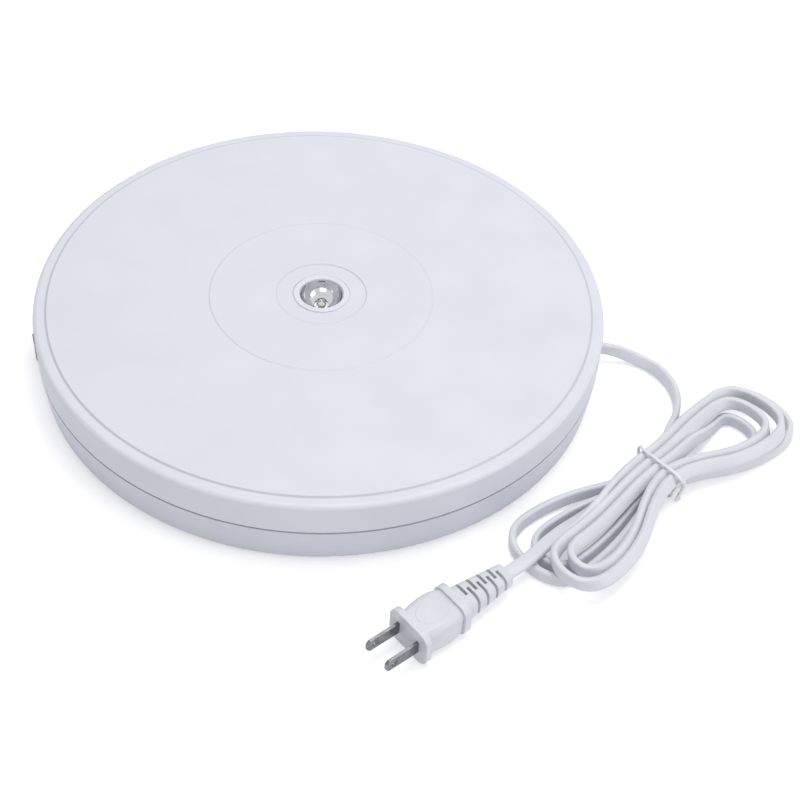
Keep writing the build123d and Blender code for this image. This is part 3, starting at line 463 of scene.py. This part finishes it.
def grip_contour():
    """The faint raised oval on the top of the plug's grip."""
    bpy.ops.object.select_all(action="DESELECT")
    bpy.ops.mesh.primitive_torus_add(
        major_segments=64,
        minor_segments=8,
        major_radius=oval_radius * mm,
        minor_radius=oval_wire * mm,
        location=(0, 0, 0),
    )
    piece = bpy.context.active_object
    piece.name = "grip_contour"
    bpy.ops.object.mode_set(mode="EDIT")
    bpy.ops.mesh.select_all(action="SELECT")
    bpy.ops.transform.resize(value=oval_stretch, center_override=(0.0, 0.0, 0.0))
    bpy.ops.object.mode_set(mode="OBJECT")
    turn = Matrix.Translation(plug_point(oval_along, 0.0, 0.0)) @ Matrix.Rotation(plug_turn, 4, "Z")
    piece.data.transform(turn)
    body = nodes["plug_body"]
    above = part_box("plug_body")[1].z + 0.01
    for vertex in piece.data.vertices:
        hit, place, _, _ = body.ray_cast((vertex.co.x, vertex.co.y, above), (0, 0, -1))
        if hit:
            vertex.co.z += place.z - oval_sunk * mm
    bpy.ops.object.shade_smooth()
    return piece


# Materials

def tint(code):
    """An sRGB hex value as linear light."""
    shares = [int(code[i:i + 2], 16) / 255 for i in (0, 2, 4)]
    return [c / 12.92 if c <= 0.04045 else ((c + 0.055) / 1.055) ** 2.4 for c in shares] + [1.0]


def fresh_tree(owner):
    """The emptied node tree of a material or a world."""
    owner.use_nodes = True
    owner.node_tree.nodes.clear()
    return owner.node_tree


def add(tree, kind, settings, links=()):
    """Adds a node, sets its fields and sockets, and links other nodes' sockets into it."""
    node = tree.nodes.new(kind)
    for name, value in settings.items():
        if isinstance(name, int) or name in node.inputs:
            node.inputs[name].default_value = value
        else:
            setattr(node, name, value)
    for name, source in links:
        tree.links.new(source, node.inputs[name])
    return node


def mapped(tree, source, before, after):
    """A value carried from one range into another, and held at its ends."""
    ranges = {"From Min": before[0], "From Max": before[1], "To Min": after[0], "To Max": after[1]}
    return add(tree, "ShaderNodeMapRange", ranges, [("Value", source)]).outputs["Result"]


def length_of(tree, source):
    """A vector's length."""
    return add(tree, "ShaderNodeVectorMath", {"operation": "LENGTH"}, [(0, source)]).outputs["Value"]


def start(name, settings):
    """A new material with one surface shader, whose plain values are set on its own sockets."""
    material = bpy.data.materials.new(name)
    tree = fresh_tree(material)
    shader = add(tree, "ShaderNodeBsdfPrincipled", settings)
    add(tree, "ShaderNodeOutputMaterial", {}, [("Surface", shader.outputs[0])])
    return material, tree, shader


def grained(name, light, dark, grain, depth, settings, rough, patch=30.0):
    """A moulded or cast surface: two close tones in wide patches, and a fine grain, in millimetres."""
    material, tree, shader = start(name, settings)
    place = add(tree, "ShaderNodeTexCoord", {}).outputs["Object"]
    wide = add(tree, "ShaderNodeTexNoise", {"Scale": 1 / (patch * mm), "Detail": 3.0}, [("Vector", place)])
    tone = add(tree, "ShaderNodeValToRGB", {}, [("Fac", wide.outputs["Fac"])])
    for stop, position, code in zip(tone.color_ramp.elements, (0.3, 0.7), (dark, light)):
        stop.position = position
        stop.color = tint(code)
    tree.links.new(tone.outputs["Color"], shader.inputs["Base Color"])
    fine = add(tree, "ShaderNodeTexNoise", {"Scale": 1 / (grain * mm), "Detail": 2.0}, [("Vector", place)])
    gloss = mapped(tree, fine.outputs["Fac"], (0.3, 0.7), rough)
    tree.links.new(gloss, shader.inputs["Roughness"])
    height = {"Strength": 0.6, "Distance": depth * mm}
    bump = add(tree, "ShaderNodeBump", height, [("Height", fine.outputs["Fac"])])
    tree.links.new(bump.outputs["Normal"], shader.inputs["Normal"])
    return material


def moulded_abs(name, light, dark):
    """Injection-moulded ABS from a spark-eroded tool: a satin white with a fine even grain."""
    return grained(name, light, dark, 0.7, 0.02, {"IOR": 1.54}, (0.42, 0.52))


def paint_circle_shade(material, circles):
    """Paints shade into narrow circles round the turning axis, for the shaded faces of moulded steps and
    rims: radius, half width and shade, in millimetres.
    """
    tree = material.node_tree
    shader = next(node for node in tree.nodes if node.type == "BSDF_PRINCIPLED")
    colour = shader.inputs["Base Color"].links[0].from_socket
    place = add(tree, "ShaderNodeTexCoord", {}).outputs["Object"]
    flat = add(tree, "ShaderNodeVectorMath", {"operation": "MULTIPLY", 1: (1.0, 1.0, 0.0)}, [(0, place)])
    radius = length_of(tree, flat.outputs[0])
    for middle, half, shade in circles:
        off = add(tree, "ShaderNodeMath", {"operation": "SUBTRACT", 1: middle * mm}, [(0, radius)])
        off = add(tree, "ShaderNodeMath", {"operation": "ABSOLUTE"}, [(0, off.outputs[0])])
        share = mapped(tree, off.outputs[0], (0.4 * half * mm, half * mm), (1.0, 0.0))
        shading = {"data_type": "RGBA", "blend_type": "MULTIPLY", 7: tint(shade)}
        colour = add(tree, "ShaderNodeMix", shading, [(0, share), (6, colour)]).outputs[2]
    tree.links.new(colour, shader.inputs["Base Color"])


def finishes():
    """The object's finishes, by the record's material slots, and the lamp die's own."""
    metal = {"Metallic": 1.0}
    # Injection-moulded ABS of the base and the platter
    shell = moulded_abs("moulded_abs_shell", "DCDEE8", "D7D9E4")
    top = moulded_abs("moulded_abs_platter", "E2E5EE", "DEE1EA")
    # Painted shade: a thin darker line at the step of the disc and at the rims of its inner circles
    paint_circle_shade(top, platter_shade_circles)
    # ABS from a polished tool: a soft shine and hardly any grain
    trim = grained("polished_abs_trim", "E8EAF1", "E4E6EE", 1.5, 0.004, {"IOR": 1.54}, (0.22, 0.3))
    # Moulded nitrile rubber: deep grey with a dull bloom
    rubber = grained("moulded_rubber", "1E1E1F", "151516", 0.5, 0.03, {"IOR": 1.52}, (0.6, 0.75), 6.0)
    # Moulded glass-filled nylon: pale warm grey and dry
    nylon = grained("glass_filled_nylon", "C9C8C2", "BAB9B3", 0.6, 0.03, {"IOR": 1.53}, (0.5, 0.65), 4.0)
    # Moulded acetal: milky, slightly see-through white with a waxy shine
    waxy = {
        "IOR": 1.48,
        "Subsurface Weight": 0.15,
        "Subsurface Radius": (0.002, 0.002, 0.0015),
        "Subsurface Scale": 1.0,
    }
    acetal = grained("moulded_acetal", "ECEADF", "E4E1D5", 1.0, 0.005, waxy, (0.28, 0.38), 8.0)
    # Moulded polyurethane of the rollers: charcoal, matt
    roller = grained("moulded_polyurethane", "33342F", "292A27", 0.5, 0.02, {"IOR": 1.5}, (0.55, 0.7), 5.0)
    # Zinc-plated steel: cool grey metal with faint cloudy passivation
    steel = grained("zinc_plated_steel", "C3C6CB", "AEB2B8", 0.4, 0.004, metal, (0.25, 0.38), 3.0)
    # Deep-drawn zinc-plated steel: a duller metal
    drawn = grained("deep_drawn_steel", "B9BBBD", "A3A6A9", 0.8, 0.008, metal, (0.3, 0.45), 5.0)
    # Vacuum-metallised plastic: a bright mirror, slightly soft
    chrome = grained("vacuum_metallised_plastic", "D6D7DB", "C6C8CD", 1.2, 0.006, metal, (0.05, 0.12), 5.0)
    # Cast clear epoxy: glassy, with a slight blue cast
    glassy = {"Base Color": tint("F4F7FC"), "Roughness": 0.03, "IOR": 1.53, "Transmission Weight": 1.0}
    epoxy, _, _ = start("cast_clear_epoxy", glassy)
    # Cast phosphor resin: a matt pale yellow drop, unlit
    phosphor = grained("cast_phosphor_resin", "DEDACB", "CFCAB8", 0.3, 0.01, {"IOR": 1.5}, (0.5, 0.7), 1.0)
    # Tinned copper: pale soft metal
    tinned = grained("tinned_copper", "D4D4D2", "BFC0BF", 0.3, 0.003, metal, (0.2, 0.35), 2.0)
    # Solder-masked glass-epoxy laminate: glossy deep green
    board = grained("solder_masked_laminate", "1F5B33", "18502C", 1.2, 0.01, {"IOR": 1.55}, (0.25, 0.35), 6.0)
    # Dipped epoxy of the film capacitor: brick red with a soft gloss
    red = grained("dipped_epoxy_red", "A8382A", "962E22", 1.0, 0.01, {"IOR": 1.55}, (0.3, 0.4), 5.0)
    # Shrunk PVC sleeve of the smoothing capacitor: black with a soft gloss
    sleeve = grained(
        "shrunk_pvc_sleeve_black", "26272B", "1D1E21", 0.8, 0.01, {"IOR": 1.53}, (0.25, 0.4), 5.0
    )
    # Baked lacquer of the resistor: dull light blue
    lacquer = grained("resistor_lacquer_blue", "6F93B0", "5F84A2", 0.6, 0.01, {"IOR": 1.5}, (0.3, 0.4), 3.0)
    # Moulded polycarbonate of the switch: black with a satin sheen
    black = grained(
        "moulded_polycarbonate_black", "202124", "18191B", 0.5, 0.01, {"IOR": 1.58}, (0.3, 0.42), 6.0
    )
    # Extruded PVC of the inner wires: white with a low shine
    wire = grained("extruded_pvc_wire", "E6E6E8", "DEDEE1", 0.8, 0.005, {"IOR": 1.53}, (0.35, 0.45), 5.0)
    # Extruded PVC of the lead: white with a blue cast and a low shine
    lead = grained("extruded_pvc_lead", "E2E3EA", "DCDDE5", 1.0, 0.008, {"IOR": 1.53}, (0.34, 0.44), 15.0)
    # Moulded nylon of the cord clamp: black and dry
    clamp = grained("moulded_nylon_black", "232426", "1A1B1D", 0.6, 0.02, {"IOR": 1.53}, (0.45, 0.6), 4.0)
    # PVC-coated wire of the tie: white with a low shine
    tie = grained("coated_tie_wire", "ECECF0", "E3E3E8", 0.6, 0.01, {"IOR": 1.5}, (0.3, 0.42), 4.0)
    # Overmoulded PVC of the plug: white with a satin grain
    plug = grained("overmoulded_pvc_plug", "DFE0E7", "D9DAE2", 0.8, 0.012, {"IOR": 1.53}, (0.36, 0.46), 10.0)
    # Stamped nickel-plated brass of the blades: dark soft metal
    blade = grained("nickel_plated_brass", "86878B", "66676C", 0.35, 0.006, metal, (0.22, 0.36), 2.5)
    return {
        "shell_white": shell, "platter_white": top, "lamp_trim_white": trim, "rubber_black": rubber,
        "post_grey": nylon, "gear_acetal": acetal, "bearing_acetal": acetal, "roller_rubber": roller,
        "steel": steel, "motor_steel": drawn, "reflector_chrome": chrome, "lamp_lens": epoxy,
        "tinned_wire": tinned, "board_green": board, "capacitor_red": red, "capacitor_black": sleeve,
        "resistor_blue": lacquer, "switch_black": black, "wire_white": wire, "cord_white": lead,
        "lamp_die": phosphor, "clamp_black": clamp, "tie_white": tie, "plug_white": plug,
        "blade_nickel": blade,
    }


def dress_nodes(by_slot):
    """Gives each CAD node its finish, by the record's material slot that its own material is named for."""
    for node in nodes.values():
        for place in node.material_slots:
            place.material = by_slot[place.material.name.split(".")[0]]


# Floor, world and lamps

def background(tree, shader, white):
    """The shader for plain rays, and the white one where the camera, a mirror or glass looks."""
    path = add(tree, "ShaderNodeLightPath", {})
    seen = path.outputs["Is Camera Ray"]
    for ray in ("Is Glossy Ray", "Is Transmission Ray"):
        either = [(0, seen), (1, path.outputs[ray])]
        seen = add(tree, "ShaderNodeMath", {"operation": "MAXIMUM"}, either).outputs[0]
    both = [(0, seen), (1, shader.outputs[0]), (2, white.outputs[0])]
    return add(tree, "ShaderNodeMixShader", {}, both)


def set_world():
    """A soft even room that looks plain white."""
    world = bpy.data.worlds.new("studio")
    bpy.context.scene.world = world
    tree = fresh_tree(world)
    ambient = add(tree, "ShaderNodeBackground", {"Color": tint("FFFFFF"), "Strength": room_light})
    white = add(tree, "ShaderNodeBackground", {"Color": tint("FFFFFF"), "Strength": 1.0})
    both = background(tree, ambient, white)
    add(tree, "ShaderNodeOutputWorld", {}, [("Surface", both.outputs[0])])


def set_floor():
    """A white sweep of card: plain for light, lifted to white where seen, with the object's shadow."""
    # Matt white card: its lift to white grows away from the object
    material = bpy.data.materials.new("white_card")
    tree = fresh_tree(material)
    card = add(tree, "ShaderNodeBsdfDiffuse", {"Color": tint("E9E9EC")})
    place = add(tree, "ShaderNodeTexCoord", {}).outputs["Object"]
    strength = mapped(tree, length_of(tree, place), card_lift_range, card_lift)
    lift = add(tree, "ShaderNodeEmission", {"Color": tint("FFFFFF")}, [("Strength", strength)])
    seen = add(tree, "ShaderNodeAddShader", {}, [(0, card.outputs[0]), (1, lift.outputs[0])])
    both = background(tree, card, seen)
    add(tree, "ShaderNodeOutputMaterial", {}, [("Surface", both.outputs[0])])
    bpy.ops.mesh.primitive_plane_add(size=card_size, location=(0.0, 0.0, card_height))
    floor = bpy.context.active_object
    floor.name = "floor"
    floor.data.materials.append(material)


def set_lamps():
    """Three square softboxes, aimed at the object's middle."""
    for name, place, size, power in softboxes:
        data = bpy.data.lights.new(name, "AREA")
        data.shape = "SQUARE"
        data.size = size
        data.energy = power
        lamp = new_object(name, data)
        aim = (-Vector(place)).normalized().to_track_quat("-Z", "Y")
        lamp.matrix_world = Matrix.Translation(place) @ aim.to_matrix().to_4x4()


set_camera()
cord, cord_line = lay_cord()
by_slot = finishes()
dress_nodes(by_slot)
tie = tie_tube()
foot = gap_ring()
anvil = lamp_anvil()
die = lamp_die()
oval = grip_contour()
dressed_pieces = [
    (tie, "tie_white", ["twist_tie"]),
    (foot, "lamp_trim_white", []),
    (anvil, "reflector_chrome", []),
    (die, "lamp_die", []),
    (oval, "plug_white", []),
    (cord, "cord_white", ["cord_lead", "cord_hank", "cord_tail"]),
]
for piece, slot, hidden in dressed_pieces:
    piece.data.materials.append(by_slot[slot])
    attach(piece, "base")
    # The record has no slot for the die
    if hidden:
        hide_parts(*hidden)
set_world()
set_floor()
set_lamps()
bpy.context.scene.view_settings.view_transform = "Standard"
